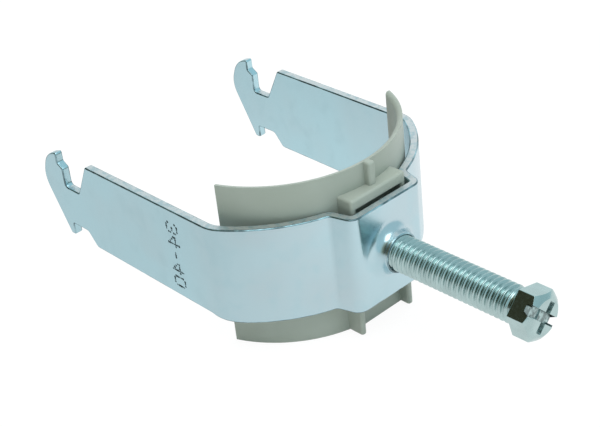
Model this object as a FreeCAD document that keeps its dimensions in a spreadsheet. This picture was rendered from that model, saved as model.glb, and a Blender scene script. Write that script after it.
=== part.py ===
import FreeCAD, Part
import math
import os

import Sketcher

# Saddle clip: a bent steel strap that hooks into a channel rail, a plastic
# pressure saddle that lies on the cable, and a clamp screw in the strap's
# drawn collar that drives the saddle down.
# Frame: the origin lies on the axis of the cable seat, +Z runs along the cable,
# +Y points from the screw head towards the rail, X goes across the two legs.

# Driving dimensions in millimetres and degrees, each with what it measures.
SIZES = [
    ("gauge", 1.5, "thickness of the strap's sheet"),
    ("leg_gap", 43.0, "clear width between the two legs"),
    ("strap_height", 17.4, "width of the strip, along the cable"),
    ("pocket_width", 13.1, "width of the crown's pocket at its inner face"),
    ("crown_room", 2.5, "height of the crown's pocket over the saddle's back"),
    ("crown_bend", 0.5, "inside radius of the crown's corners"),
    ("crown_slant", 15.0, "angle that the crown's walls lean outwards"),
    ("pocket_bend", 1.0, "outside radius where the pocket turns into the shoulder"),
    ("shoulder_offset", 3.7, "shoulder arc's centre past the seat axis"),
    ("shoulder_clearance", 0.15, "gap to the saddle's back where the shoulder leaves the pocket"),
    ("leg_bend", 4.0, "inside radius where the shoulder turns into the leg"),
    ("taper_start", 11.0, "where the lower edge starts to rise, before the seat axis"),
    ("taper_run", 4.5, "length of the sloped stretch of the lower edge"),
    ("shoulder_relief", 0.8, "rise of the lower edge after the slope"),
    ("leg_relief", 1.25, "rise of the lower edge at the hooks"),
    ("edge_blend", 4.0, "radius of the two soft corners of the lower edge"),
    ("rail_reach", 30.6, "seat axis to the hook face that takes the rail's lip"),
    ("notch_width", 3.9, "width of the upper notch at its floor"),
    ("notch_mouth", 7.25, "width of the upper notch at the strip's edge"),
    ("notch_depth", 6.3, "depth of the upper notch"),
    ("notch_round", 0.7, "radius in the upper notch's floor"),
    ("ledge_drop", 2.8, "step in the hook face, below the strip's edge"),
    ("ledge_rise", 0.8, "slope of that step"),
    ("ledge_depth", 1.3, "length of that step"),
    ("brow_reach", 4.5, "hook face to the upper corner of the hook's back"),
    ("brow_drop", 1.0, "drop of that corner below the strip's edge"),
    ("heel_reach", 6.4, "hook face to the lower corner of the hook's back"),
    ("heel_drop", 6.1, "drop of that corner below the strip's edge"),
    ("heel_round", 4.8, "radius of both corners of the hook's back"),
    ("tail_width", 1.2, "width of the lower hook's end"),
    ("tail_drop", 7.35, "lower hook's end below the middle of the strip"),
    ("tail_setback", 0.15, "lower hook's inner face behind the upper one"),
    ("lower_notch_depth", 2.4, "depth of the lower notch"),
    ("lower_notch_width", 4.3, "width of the lower notch at its roof"),
    ("lower_notch_slope", 2.1, "length of the slope that opens the lower notch"),
    ("lower_notch_round", 1.0, "radius of the lower notch's two bends"),
    ("corner_round", 0.4, "radius of the hooks' small corners"),
    ("collar_root", 7.4, "diameter of the drawn collar at the crown"),
    ("collar_end", 6.8, "diameter of the drawn collar at its end"),
    ("collar_length", 2.4, "length of the drawn collar"),
    ("collar_flare", 2.0, "radius between the crown and the collar"),
    ("thread_diameter", 6.0, "outer diameter of the screw's thread"),
    ("thread_clearance", 0.05, "radial gap between the screw and the collar's bore"),
    ("screw_length", 30.0, "screw below its head"),
    ("tip_chamfer", 0.5, "chamfer of the screw's tip"),
    ("head_across", 7.4, "hexagon across its flats"),
    ("head_height", 3.9, "height of the head"),
    ("head_face", 6.2, "diameter of the flat end inside the head's chamfer"),
    ("head_slope", 30.0, "slope of the head's chamfer"),
    ("head_turn", 46.7, "angle from X to one corner of the hexagon"),
    ("slot_width", 1.6, "width of the driver slot across the head"),
    ("slot_depth", 1.5, "depth of the driver slot"),
    ("cross_length", 5.4, "length of the cross recess's second wing"),
    ("cross_width", 1.1, "width of that wing"),
    ("cross_depth", 1.7, "depth of that wing"),
    ("saddle_side_room", 0.45, "gap between the saddle's back and each leg"),
    ("saddle_wall", 1.05, "wall of the saddle's trough"),
    ("saddle_length", 29.2, "length of the trough along the cable"),
    ("saddle_wrap", 138.0, "angle that the trough spans"),
    ("seat_round", 0.85, "radius round the cable seat's edges"),
    ("frame_side_room", 0.45, "gap between the guide fins and the pocket's walls"),
    ("frame_room", 0.35, "gap between the fins and the cross bar and the crown"),
    ("frame_round", 0.5, "radius of the upright edges of the fins and the bar"),
    ("fin_thickness", 1.1, "thickness of each guide fin"),
    ("fin_round", 0.3, "radius of the fins' lower ends"),
    ("web_room", 2.4, "gap between the flat web that joins the fins and the crown"),
    ("bar_top", 10.65, "top of the cross bar above the middle of the strip"),
    ("bar_height", 1.65, "height of the cross bar"),
    ("bar_round", 0.45, "radius round the bar's top"),
    ("rib_width", 1.5, "thickness of the rib behind the bar"),
    ("rib_room", 1.4, "gap between the rib and the crown's face"),
    ("rib_round", 0.4, "radius of the rib's free edges"),
    ("pad_room", 2.1, "crown's inner face to the thrust pad"),
    ("pad_diameter", 8.0, "diameter of the thrust pad under the screw"),
]

# Sizes that follow from the driving ones.
SADDLE_RADIUS = "(Sizes.leg_gap / 2 - Sizes.saddle_side_room)"
SEAT_RADIUS = "(" + SADDLE_RADIUS + " - Sizes.saddle_wall)"
CROWN_INNER = "(" + SADDLE_RADIUS + " + Sizes.crown_room)"
CROWN_OUTER = "(" + CROWN_INNER + " + Sizes.gauge)"
POCKET_HALF = "(Sizes.pocket_width / 2)"
# The shoulder arc passes the saddle's back where the strap swings out of the pocket.
SWING_OUT = "(" + POCKET_HALF + " + Sizes.pocket_bend + Sizes.gauge)"
SWING_REACH = "sqrt((" + SADDLE_RADIUS + " + Sizes.shoulder_clearance)^2 - " + SWING_OUT + "^2)"
SHOULDER_RADIUS = "sqrt(" + SWING_OUT + "^2 + (Sizes.shoulder_offset + " + SWING_REACH + ")^2)"
LEG_INNER = "Sizes.leg_gap / 2"
HALF_HEIGHT = "Sizes.strap_height / 2"
BORE_RADIUS = "(Sizes.thread_diameter / 2 + Sizes.thread_clearance)"
PAD_FACE = "(" + CROWN_INNER + " - Sizes.pad_room)"
HEAD_SEAT = "(" + PAD_FACE + " + Sizes.screw_length)"
HEAD_FRONT = "(" + HEAD_SEAT + " + Sizes.head_height)"
HEAD_CORNER = "(Sizes.head_across / 2 / cos(30 deg))"
FRAME_HALF = "(" + POCKET_HALF + " - Sizes.frame_side_room)"
FIN_INNER = "(" + FRAME_HALF + " - Sizes.fin_thickness)"
FRAME_FRONT = "(" + CROWN_INNER + " - Sizes.frame_room)"
FIN_MIDDLE = "(" + FRAME_HALF + " - Sizes.fin_thickness / 2)"
WEB_FACE = "(" + CROWN_INNER + " - Sizes.web_room)"
RIB_FRONT = "(" + CROWN_INNER + " - Sizes.rib_room)"
HALF_SADDLE = "Sizes.saddle_length / 2"
# Everything that stands on the trough's back is rooted inside the seat and trimmed with it.
ROOT = "(" + SEAT_RADIUS + " - Sizes.saddle_wall)"

# Turns a sketch's own axes so that its x lies along Y, its y along Z and its normal along X.
SIDE_VIEW = FreeCAD.Placement(FreeCAD.Vector(), FreeCAD.Rotation(FreeCAD.Vector(1, 1, 1), 120))
# Turns a cylinder's axis from Z to Y.
ALONG_Y = FreeCAD.Rotation(FreeCAD.Vector(1, 0, 0), -90)

doc = FreeCAD.newDocument("saddle_clip")
sheet = doc.addObject("Spreadsheet::Sheet", "Sizes")


def fill_sheet():
    """Writes each driving dimension to the sheet with its alias and its meaning."""
    for row, (alias, value, meaning) in enumerate(SIZES, start=1):
        sheet.set("A%d" % row, meaning)
        sheet.set("B%d" % row, str(value))
        sheet.setAlias("B%d" % row, alias)
    doc.recompute()


def size(alias):
    """Gives a driving dimension as a number, for a sketch's first guess."""
    return float(sheet.get(alias))


def drive(sketch, kind, places, guess, expression):
    """Adds a dimension to a sketch, as drawn, and binds it to an expression of the sheet."""
    index = sketch.addConstraint(Sketcher.Constraint(kind, *places, guess))
    sketch.setExpression("Constraints[%d]" % index, expression)


def tie(sketch, kind, *places):
    """Adds a geometric constraint to a sketch."""
    sketch.addConstraint(Sketcher.Constraint(kind, *places))


def body_sketch(body, name, role, offset="0"):
    """Makes a sketch on an origin plane of its body, moved along that plane's normal."""
    plane = [item for item in body.Origin.OriginFeatures if item.Role == role][0]
    sketch = body.newObject("Sketcher::SketchObject", name)
    sketch.AttachmentSupport = [(plane, "")]
    sketch.MapMode = "FlatFace"
    sketch.setExpression("AttachmentOffset.Base.z", offset)
    return sketch


def corner_places(sketch, corners):
    """Locks a construction point to each corner's sizes and gives the points and their places."""
    points = []
    for along, across, _ in corners:
        point = sketch.addGeometry(Part.Point(FreeCAD.Vector()), True)
        drive(sketch, "DistanceX", (-1, 1, point, 1), 0.0, along)
        drive(sketch, "DistanceY", (-1, 1, point, 1), 0.0, across)
        points.append(point)
    doc.recompute()
    places = [FreeCAD.Vector(sketch.Geometry[point].X, sketch.Geometry[point].Y, 0) for point in points]
    return points, places


def outline(sketch, corners):
    """Draws a closed outline through corners (x, y, radius alias or None), rounded with tangent arcs."""
    points, places = corner_places(sketch, corners)
    count = len(corners)
    ways = [(places[(i + 1) % count] - places[i]).normalize() for i in range(count)]
    turns = [math.atan2(ways[i - 1].cross(ways[i]).z, ways[i - 1].dot(ways[i])) for i in range(count)]
    radii = [size(alias) if alias else 0.0 for _, _, alias in corners]
    setbacks = [radii[i] * math.tan(abs(turns[i]) / 2) for i in range(count)]
    lines = []
    for i in range(count):
        start = places[i] + ways[i] * setbacks[i]
        end = places[(i + 1) % count] - ways[i] * setbacks[(i + 1) % count]
        line = sketch.addGeometry(Part.LineSegment(start, end))
        tie(sketch, "PointOnObject", points[i], 1, line)
        tie(sketch, "PointOnObject", points[(i + 1) % count], 1, line)
        lines.append(line)
    for i in range(count):
        if radii[i] == 0.0:
            tie(sketch, "Coincident", lines[i - 1], 2, lines[i], 1)
            continue
        side = math.copysign(1.0, turns[i])
        start = places[i] - ways[i - 1] * setbacks[i]
        inward = FreeCAD.Vector(-ways[i - 1].y, ways[i - 1].x, 0) * side
        centre = start + inward * radii[i]
        first = math.atan2(start.y - centre.y, start.x - centre.x)
        last = first + turns[i]
        ring = Part.Circle(centre, FreeCAD.Vector(0, 0, 1), radii[i])
        arc = sketch.addGeometry(Part.ArcOfCircle(ring, min(first, last), max(first, last)))
        head, foot = (1, 2) if side > 0 else (2, 1)
        tie(sketch, "Tangent", lines[i - 1], 2, arc, head)
        tie(sketch, "Tangent", arc, foot, lines[i], 1)
        drive(sketch, "Radius", (arc,), radii[i], "Sizes." + corners[i][2])
    doc.recompute()


def circle(sketch, guess, expression):
    """Draws a circle round the sketch's origin with its radius bound to an expression."""
    shape = Part.Circle(FreeCAD.Vector(), FreeCAD.Vector(0, 0, 1), guess)
    ring = sketch.addGeometry(shape)
    tie(sketch, "Coincident", ring, 3, -1, 1)
    drive(sketch, "Radius", (ring,), guess, expression)


def box_corners(left, right, low, high, low_round=None):
    """Gives a rectangle's corners from its sides' expressions, with the low ones rounded on request."""
    return [(left, low, low_round), (right, low, low_round), (right, high, None), (left, high, None)]


def turned(along, across, angle):
    """Gives the expressions of a point that is turned about the sketch's origin."""
    cosine = "cos((%s) * 1 deg)" % angle
    sine = "sin((%s) * 1 deg)" % angle
    x = "(%s) * %s - (%s) * %s" % (along, cosine, across, sine)
    y = "(%s) * %s + (%s) * %s" % (along, sine, across, cosine)
    return (x, y, None)


def pad(body, name, sketch, length, toward_rail=False):
    """Pads a sketch by an expression, along its normal or back along it."""
    feature = body.newObject("PartDesign::Pad", name)
    feature.Profile = sketch
    feature.Reversed = toward_rail
    feature.setExpression("Length", length)
    doc.recompute()
    return feature


def cut_counts(feature):
    """Stops if a cutting feature has taken nothing away."""
    doc.recompute()
    if feature.Shape.Volume >= feature.BaseFeature.Shape.Volume:
        raise RuntimeError("nothing was cut by " + feature.Label)


def pocket(body, name, sketch, depth):
    """Pockets a sketch by an expression, against its normal."""
    feature = body.newObject("PartDesign::Pocket", name)
    feature.Profile = sketch
    feature.setExpression("Length", depth)
    cut_counts(feature)
    return feature


def fillet(body, name, base, chosen, alias):
    """Rounds the edges of the base whose middle point passes the test."""
    edges = []
    for number, edge in enumerate(base.Shape.Edges, start=1):
        middle = edge.valueAt((edge.FirstParameter + edge.LastParameter) / 2)
        if chosen(middle):
            edges.append("Edge%d" % number)
    if not edges:
        raise RuntimeError("no edge found for " + name)
    feature = body.newObject("PartDesign::Fillet", name)
    feature.Base = (base, edges)
    feature.setExpression("Radius", "Sizes." + alias)
    doc.recompute()
    return feature


def bend_line():
    """Draws half of the strap's inner face, from the crown's middle to the end of a leg."""
    gauge = size("gauge")
    leg = size("leg_gap") / 2
    saddle = leg - size("saddle_side_room")
    crown = saddle + size("crown_room")
    pocket_half = size("pocket_width") / 2
    corner = size("crown_bend")
    slant = math.radians(size("crown_slant"))
    swing = size("pocket_bend") + gauge
    offset = size("shoulder_offset")
    leg_bend = size("leg_bend")
    swing_out = pocket_half + swing
    swing_reach = math.sqrt((saddle + size("shoulder_clearance")) ** 2 - swing_out ** 2)
    shoulder = math.hypot(swing_out, offset + swing_reach)
    # Along the wall from the pocket's corner, the swing's centre lies where it touches the shoulder arc.
    along = FreeCAD.Vector(math.sin(slant), math.cos(slant), 0)
    outward = FreeCAD.Vector(math.cos(slant), -math.sin(slant), 0)
    from_centre = FreeCAD.Vector(pocket_half, -crown - offset, 0) + outward * swing
    drop = from_centre.dot(along)
    wall_length = -drop - math.sqrt(drop ** 2 - from_centre.dot(from_centre) + (shoulder + swing) ** 2)
    swing_x = from_centre.x + along.x * wall_length
    swing_y = from_centre.y + along.y * wall_length + offset
    fold_setback = corner * math.tan((math.pi / 2 - slant) / 2)
    fold_x = pocket_half - fold_setback
    knee_x = leg - leg_bend
    knee_y = offset - math.sqrt((shoulder - leg_bend) ** 2 - knee_x ** 2)
    swing_angle = math.atan2(swing_y - offset, swing_x)
    knee_angle = math.atan2(knee_y - offset, knee_x)
    reach = size("rail_reach") + size("heel_reach")

    sketch = doc.addObject("Sketcher::SketchObject", "bend_line")
    up = FreeCAD.Vector(0, 0, 1)

    def line(x_start, y_start, x_end, y_end):
        ends = (FreeCAD.Vector(x_start, y_start, 0), FreeCAD.Vector(x_end, y_end, 0))
        return sketch.addGeometry(Part.LineSegment(*ends))

    def arc(x, y, radius, first, last):
        ring = Part.Circle(FreeCAD.Vector(x, y, 0), up, radius)
        return sketch.addGeometry(Part.ArcOfCircle(ring, first, last))

    def on_wall(distance):
        return (pocket_half + along.x * distance, along.y * distance - crown)

    corner_point = sketch.addGeometry(Part.Point(FreeCAD.Vector(pocket_half, -crown, 0)), True)
    face = line(0, -crown, fold_x, -crown)
    fold = arc(fold_x, corner - crown, corner, -math.pi / 2, -slant)
    wall = line(*on_wall(fold_setback), *on_wall(wall_length))
    turn = arc(swing_x, swing_y, swing, swing_angle + math.pi, math.pi - slant)
    round_back = arc(0, offset, shoulder, swing_angle, knee_angle)
    knee = arc(knee_x, knee_y, leg_bend, knee_angle, 0)
    shank = line(leg, knee_y, leg, reach)

    tie(sketch, "Horizontal", face)
    tie(sketch, "Vertical", shank)
    tie(sketch, "PointOnObject", face, 1, -2)
    tie(sketch, "PointOnObject", corner_point, 1, face)
    tie(sketch, "PointOnObject", corner_point, 1, wall)
    tie(sketch, "PointOnObject", round_back, 3, -2)
    tie(sketch, "Tangent", face, 2, fold, 1)
    tie(sketch, "Tangent", fold, 2, wall, 1)
    tie(sketch, "Tangent", wall, 2, turn, 2)
    tie(sketch, "Tangent", turn, 1, round_back, 1)
    tie(sketch, "Tangent", round_back, 2, knee, 1)
    tie(sketch, "Tangent", knee, 2, shank, 1)
    drive(sketch, "DistanceY", (-1, 1, face, 1), -crown, "-" + CROWN_INNER)
    drive(sketch, "DistanceX", (-1, 1, corner_point, 1), pocket_half, POCKET_HALF)
    drive(sketch, "Angle", (wall,), math.pi / 2 - slant, "(90 - Sizes.crown_slant) * 1 deg")
    drive(sketch, "DistanceX", (-1, 1, shank, 1), leg, LEG_INNER)
    drive(sketch, "DistanceY", (-1, 1, shank, 2), reach, "Sizes.rail_reach + Sizes.heel_reach")
    drive(sketch, "DistanceY", (-1, 1, round_back, 3), offset, "Sizes.shoulder_offset")
    drive(sketch, "Radius", (fold,), corner, "Sizes.crown_bend")
    drive(sketch, "Radius", (turn,), swing, "Sizes.pocket_bend + Sizes.gauge")
    drive(sketch, "Radius", (round_back,), shoulder, SHOULDER_RADIUS)
    drive(sketch, "Radius", (knee,), leg_bend, "Sizes.leg_bend")
    doc.recompute()
    return sketch


def side_outline():
    """Draws the flank of the strip: tapered lower edge, notches and the double hook."""
    front = "-(" + CROWN_OUTER + " + Sizes.gauge)"
    top = HALF_HEIGHT
    bottom = "-" + HALF_HEIGHT
    reach = "Sizes.rail_reach"
    tail = "(Sizes.rail_reach - Sizes.tail_setback)"
    floor = top + " - Sizes.notch_depth"
    roof = "-Sizes.tail_drop + Sizes.lower_notch_depth"
    slope_end = tail + " - Sizes.lower_notch_width - Sizes.lower_notch_slope"
    slope_start = "Sizes.taper_run - Sizes.taper_start"
    sketch = doc.addObject("Sketcher::SketchObject", "side_outline")
    sketch.Placement = SIDE_VIEW
    outline(sketch, [
        (front, bottom, None),
        ("-Sizes.taper_start", bottom, "edge_blend"),
        (slope_start, bottom + " + Sizes.shoulder_relief", "edge_blend"),
        (slope_end, bottom + " + Sizes.leg_relief", "lower_notch_round"),
        (tail + " - Sizes.lower_notch_width", roof, "lower_notch_round"),
        (tail, roof, "corner_round"),
        (tail, "-Sizes.tail_drop", "corner_round"),
        (tail + " + Sizes.tail_width", "-Sizes.tail_drop", "corner_round"),
        (reach + " + Sizes.heel_reach", top + " - Sizes.heel_drop", "heel_round"),
        (reach + " + Sizes.brow_reach", top + " - Sizes.brow_drop", "heel_round"),
        (reach + " + Sizes.ledge_depth", top, "corner_round"),
        (reach + " + Sizes.ledge_depth", top + " - Sizes.ledge_drop + Sizes.ledge_rise", "corner_round"),
        (reach, top + " - Sizes.ledge_drop", "corner_round"),
        (reach, floor, "notch_round"),
        (reach + " - Sizes.notch_width", floor, "notch_round"),
        (reach + " - Sizes.notch_mouth", top, "corner_round"),
        (front, top, None),
    ])
    return sketch


def collar_profile():
    """Draws the half section of the drawn collar, with its flare onto the crown's face."""
    inside = "-" + CROWN_OUTER + " + Sizes.gauge / 2"
    face = "-" + CROWN_OUTER
    end = face + " - Sizes.collar_length"
    foot = "Sizes.collar_root / 2 + Sizes.collar_flare"
    sketch = doc.addObject("Sketcher::SketchObject", "collar_profile")
    outline(sketch, [
        (BORE_RADIUS, inside, None),
        (BORE_RADIUS, end, None),
        ("Sizes.collar_end / 2", end, None),
        ("Sizes.collar_root / 2", face, "collar_flare"),
        (foot, face, None),
        (foot, inside, None),
    ])
    return sketch


def make_strap():
    """Bends the strip, cuts its flank, mirrors it, and adds the bored collar."""
    strip = doc.addObject("Part::Offset2D", "strip_section")
    strip.Source = bend_line()
    strip.Mode = "Skin"
    strip.Fill = True
    strip.setExpression("Value", "Sizes.gauge")

    strip_solid = doc.addObject("Part::Extrusion", "strip_solid")
    strip_solid.Base = strip
    strip_solid.DirMode = "Normal"
    strip_solid.Solid = True
    strip_solid.Symmetric = True
    strip_solid.setExpression("LengthFwd", "Sizes.strap_height")

    flank = doc.addObject("Part::Extrusion", "flank")
    flank.Base = side_outline()
    flank.DirMode = "Normal"
    flank.Solid = True
    flank.Symmetric = True
    flank.setExpression("LengthFwd", "2 * Sizes.leg_gap")

    half = doc.addObject("Part::MultiCommon", "strap_half")
    half.Shapes = [strip_solid, flank]

    other_half = doc.addObject("Part::Mirroring", "strap_other_half")
    other_half.Source = half
    other_half.Normal = FreeCAD.Vector(1, 0, 0)

    collar = doc.addObject("Part::Revolution", "collar")
    collar.Source = collar_profile()
    collar.Axis = FreeCAD.Vector(0, 1, 0)
    collar.Angle = 360
    collar.Solid = True

    blank = doc.addObject("Part::MultiFuse", "strap_blank")
    blank.Shapes = [half, other_half, collar]
    blank.Refine = True

    bore = doc.addObject("Part::Cylinder", "bore")
    bore.Placement = FreeCAD.Placement(FreeCAD.Vector(), ALONG_Y)
    bore.setExpression("Placement.Base.y", "-" + CROWN_OUTER + " - 2 * Sizes.collar_length")
    bore.setExpression("Radius", BORE_RADIUS)
    bore.setExpression("Height", "3 * Sizes.collar_length")

    strap = doc.addObject("Part::Cut", "strap")
    strap.Base = blank
    strap.Tool = bore
    doc.recompute()
    return strap


def trough_sector(body):
    """Draws the sector that the trough and its cable seat are cut from."""
    half_wrap = math.radians(size("saddle_wrap") / 2)
    radius = size("leg_gap") / 2 - size("saddle_side_room")
    side_x = radius * math.sin(half_wrap)
    side_y = -radius * math.cos(half_wrap)
    sketch = body_sketch(body, "trough_sector", "XY_Plane", "-" + HALF_SADDLE)
    centre = FreeCAD.Vector()
    left = sketch.addGeometry(Part.LineSegment(centre, FreeCAD.Vector(-side_x, side_y, 0)))
    right = sketch.addGeometry(Part.LineSegment(centre, FreeCAD.Vector(side_x, side_y, 0)))
    ring = Part.Circle(centre, FreeCAD.Vector(0, 0, 1), radius)
    start_angle = -math.pi / 2 - half_wrap
    back = sketch.addGeometry(Part.ArcOfCircle(ring, start_angle, start_angle + 2 * half_wrap))
    tie(sketch, "Coincident", back, 3, -1, 1)
    tie(sketch, "Coincident", left, 1, -1, 1)
    tie(sketch, "Coincident", right, 1, -1, 1)
    tie(sketch, "Coincident", left, 2, back, 1)
    tie(sketch, "Coincident", right, 2, back, 2)
    tie(sketch, "Symmetric", back, 1, back, 2, -2)
    drive(sketch, "Radius", (back,), radius, SADDLE_RADIUS)
    drive(sketch, "Angle", (left, 1, right, 1), 2 * half_wrap, "Sizes.saddle_wrap * 1 deg")
    doc.recompute()
    return sketch


def make_saddle():
    """Builds the moulded saddle: trough, guide fins and their web, cross bar, rib and thrust pad."""
    body = doc.addObject("PartDesign::Body", "pressure_saddle")
    saddle = size("leg_gap") / 2 - size("saddle_side_room")
    seat_radius = saddle - size("saddle_wall")
    half_length = size("saddle_length") / 2
    fin_root = saddle + size("crown_room") - size("frame_room") - size("fin_thickness")
    touch = 0.01

    def on_back(middle):
        return math.hypot(middle.x, middle.y) > saddle + touch

    def bar_rim(middle):
        return abs(middle.z - size("bar_top")) < touch and on_back(middle)

    def fin_end(middle):
        return abs(middle.z + half_length) < touch and middle.y < -fin_root

    def rib_rim(middle):
        return abs(middle.z - half_length) < touch and on_back(middle)

    def seat_rim(middle):
        return abs(math.hypot(middle.x, middle.y) - seat_radius) < touch

    pad(body, "trough", trough_sector(body), "Sizes.saddle_length")

    fins = body_sketch(body, "fin_plan", "XY_Plane", "-" + HALF_SADDLE)
    for sides in ((FIN_INNER, FRAME_HALF), ("-" + FRAME_HALF, "-" + FIN_INNER)):
        outline(fins, box_corners(*sides, "-" + FRAME_FRONT, "-" + ROOT, "frame_round"))
    fin_length = HALF_SADDLE + " + Sizes.bar_top - Sizes.bar_height / 2"
    padded = pad(body, "fins", fins, fin_length)
    fillet(body, "fin_ends", padded, fin_end, "fin_round")

    web = body_sketch(body, "web_plan", "XY_Plane", "-" + HALF_SADDLE)
    outline(web, box_corners("-" + FIN_MIDDLE, FIN_MIDDLE, "-" + WEB_FACE, "-" + ROOT))
    pad(body, "web", web, fin_length)

    bar = body_sketch(body, "bar_plan", "XY_Plane", "Sizes.bar_top - Sizes.bar_height")
    outline(bar, box_corners("-" + FRAME_HALF, FRAME_HALF, "-" + FRAME_FRONT, "-" + ROOT, "frame_round"))
    padded = pad(body, "cross_bar", bar, "Sizes.bar_height")
    fillet(body, "bar_rim", padded, bar_rim, "bar_round")

    rib = body_sketch(body, "rib_plan", "XY_Plane", "Sizes.bar_top - Sizes.bar_height / 2")
    rib_sides = ("-Sizes.rib_width / 2", "Sizes.rib_width / 2")
    outline(rib, box_corners(*rib_sides, "-" + RIB_FRONT, "-" + ROOT, "rib_round"))
    padded = pad(body, "rib", rib, HALF_SADDLE + " - Sizes.bar_top + Sizes.bar_height / 2")
    fillet(body, "rib_rim", padded, rib_rim, "rib_round")

    thrust = body_sketch(body, "thrust_pad_plan", "XZ_Plane", PAD_FACE)
    circle(thrust, size("pad_diameter") / 2, "Sizes.pad_diameter / 2")
    pad(body, "thrust_pad", thrust, PAD_FACE + " - " + ROOT, toward_rail=True)

    seat = body_sketch(body, "seat_plan", "XY_Plane", HALF_SADDLE)
    circle(seat, seat_radius, SEAT_RADIUS)
    carved = pocket(body, "seat", seat, "Sizes.saddle_length")
    fillet(body, "seat_rim", carved, seat_rim, "seat_round")
    return body


def make_screw():
    """Builds the clamp screw: plain shank at thread size, hexagon head, slot and cross recess."""
    body = doc.addObject("PartDesign::Body", "clamp_screw")
    radius = "Sizes.thread_diameter / 2"
    tip = "-" + PAD_FACE
    profile = body_sketch(body, "shank_profile", "XY_Plane")
    outline(profile, [
        ("0", "-" + HEAD_SEAT, None),
        (radius, "-" + HEAD_SEAT, None),
        (radius, tip + " - Sizes.tip_chamfer", None),
        (radius + " - Sizes.tip_chamfer", tip, None),
        ("0", tip, None),
    ])
    shank = body.newObject("PartDesign::Revolution", "shank")
    shank.Profile = profile
    shank.ReferenceAxis = (profile, ["V_Axis"])
    shank.Angle = 360
    doc.recompute()

    hexagon = body_sketch(body, "head_plan", "XZ_Plane", HEAD_SEAT)
    outline(hexagon, [turned(HEAD_CORNER, "0", "Sizes.head_turn + %d" % (60 * k)) for k in range(6)])
    pad(body, "head", hexagon, "Sizes.head_height")

    beyond = "Sizes.head_across"
    face = "Sizes.head_face / 2"
    rise = "(" + beyond + " - " + face + ") * tan(Sizes.head_slope * 1 deg)"
    bevel = body_sketch(body, "head_chamfer_profile", "XY_Plane")
    outline(bevel, [
        (face, "-" + HEAD_FRONT, None),
        (beyond, "-" + HEAD_FRONT, None),
        (beyond, "-" + HEAD_FRONT + " + " + rise, None),
    ])
    chamfer = body.newObject("PartDesign::Groove", "head_chamfer")
    chamfer.Profile = bevel
    chamfer.ReferenceAxis = (bevel, ["V_Axis"])
    chamfer.Angle = 360
    cut_counts(chamfer)

    slot_turn = "Sizes.head_turn + 90"
    slot_ends = box_corners("-Sizes.head_across", "Sizes.head_across",
                            "-Sizes.slot_width / 2", "Sizes.slot_width / 2")
    slot = body_sketch(body, "slot_plan", "XZ_Plane", HEAD_FRONT)
    outline(slot, [turned(along, across, slot_turn) for along, across, _ in slot_ends])
    pocket(body, "slot", slot, "Sizes.slot_depth")

    wing_ends = box_corners("-Sizes.cross_length / 2", "Sizes.cross_length / 2",
                            "-Sizes.cross_width / 2", "Sizes.cross_width / 2")
    wing = body_sketch(body, "cross_plan", "XZ_Plane", HEAD_FRONT)
    outline(wing, [turned(along, across, "Sizes.head_turn") for along, across, _ in wing_ends])
    pocket(body, "cross_recess", wing, "Sizes.cross_depth")
    return body


def check_document(pieces):
    """Stops if any object failed, or if a piece is not one valid solid."""
    for item in doc.Objects:
        if "Invalid" in item.State or "Error" in item.State:
            raise RuntimeError("failed: " + item.Label)
    for piece in pieces:
        shape = piece.Shape
        if shape.isNull() or not shape.isValid() or len(shape.Solids) != 1:
            raise RuntimeError("not one valid solid: " + piece.Label)


def main():
    """Builds the three pieces, checks them and writes one STEP file for each."""
    fill_sheet()
    pieces = [make_strap(), make_saddle(), make_screw()]
    doc.recompute()
    check_document(pieces)
    os.makedirs("parts", exist_ok=True)
    for piece in pieces:
        piece.Shape.exportStep("parts/%s.step" % piece.Label)
        box = piece.Shape.BoundBox
        print("%s: volume %.1f mm3, box %.2f x %.2f x %.2f mm"
              % (piece.Label, piece.Shape.Volume, box.XLength, box.YLength, box.ZLength))


main()
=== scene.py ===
"""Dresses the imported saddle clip: zinc strap, grey saddle, threaded clamp screw and a white studio."""
import math

import bmesh
import bpy
from mathutils import Euler, Matrix, Vector


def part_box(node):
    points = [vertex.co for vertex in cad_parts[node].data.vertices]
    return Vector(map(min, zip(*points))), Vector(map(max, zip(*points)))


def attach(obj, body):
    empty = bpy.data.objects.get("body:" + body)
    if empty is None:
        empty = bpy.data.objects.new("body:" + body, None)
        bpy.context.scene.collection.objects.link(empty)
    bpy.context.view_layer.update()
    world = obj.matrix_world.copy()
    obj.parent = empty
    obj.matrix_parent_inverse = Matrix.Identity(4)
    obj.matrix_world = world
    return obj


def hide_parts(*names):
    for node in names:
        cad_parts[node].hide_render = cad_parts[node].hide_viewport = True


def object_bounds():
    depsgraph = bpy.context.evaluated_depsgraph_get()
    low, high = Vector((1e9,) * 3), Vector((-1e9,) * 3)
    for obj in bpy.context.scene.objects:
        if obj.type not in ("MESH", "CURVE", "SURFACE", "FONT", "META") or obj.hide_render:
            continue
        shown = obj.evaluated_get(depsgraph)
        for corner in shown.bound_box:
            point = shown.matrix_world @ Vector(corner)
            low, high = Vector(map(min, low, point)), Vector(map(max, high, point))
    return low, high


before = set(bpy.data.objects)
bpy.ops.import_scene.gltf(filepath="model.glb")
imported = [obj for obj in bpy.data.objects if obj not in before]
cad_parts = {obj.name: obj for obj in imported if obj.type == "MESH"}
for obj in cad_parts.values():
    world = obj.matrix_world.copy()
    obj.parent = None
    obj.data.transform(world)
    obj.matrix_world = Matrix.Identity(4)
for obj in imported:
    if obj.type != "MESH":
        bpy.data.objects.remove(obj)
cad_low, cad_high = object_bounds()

bl_info = {
    "name": "Saddle clip",
    "version": (1, 0, 0),
    "blender": (4, 5, 0),
    "location": "View3D > Sidebar > Saddle clip",
    "description": "Dresses a cable saddle clip with its strap, pressure saddle, clamp screw and studio",
    "category": "Object",
}

MM = 0.001
SENSOR_WIDTH = 36.0
WHITE = (1.0, 1.0, 1.0, 1.0)
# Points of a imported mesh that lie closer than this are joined
SEAM_REACH = 0.001 * MM
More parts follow.
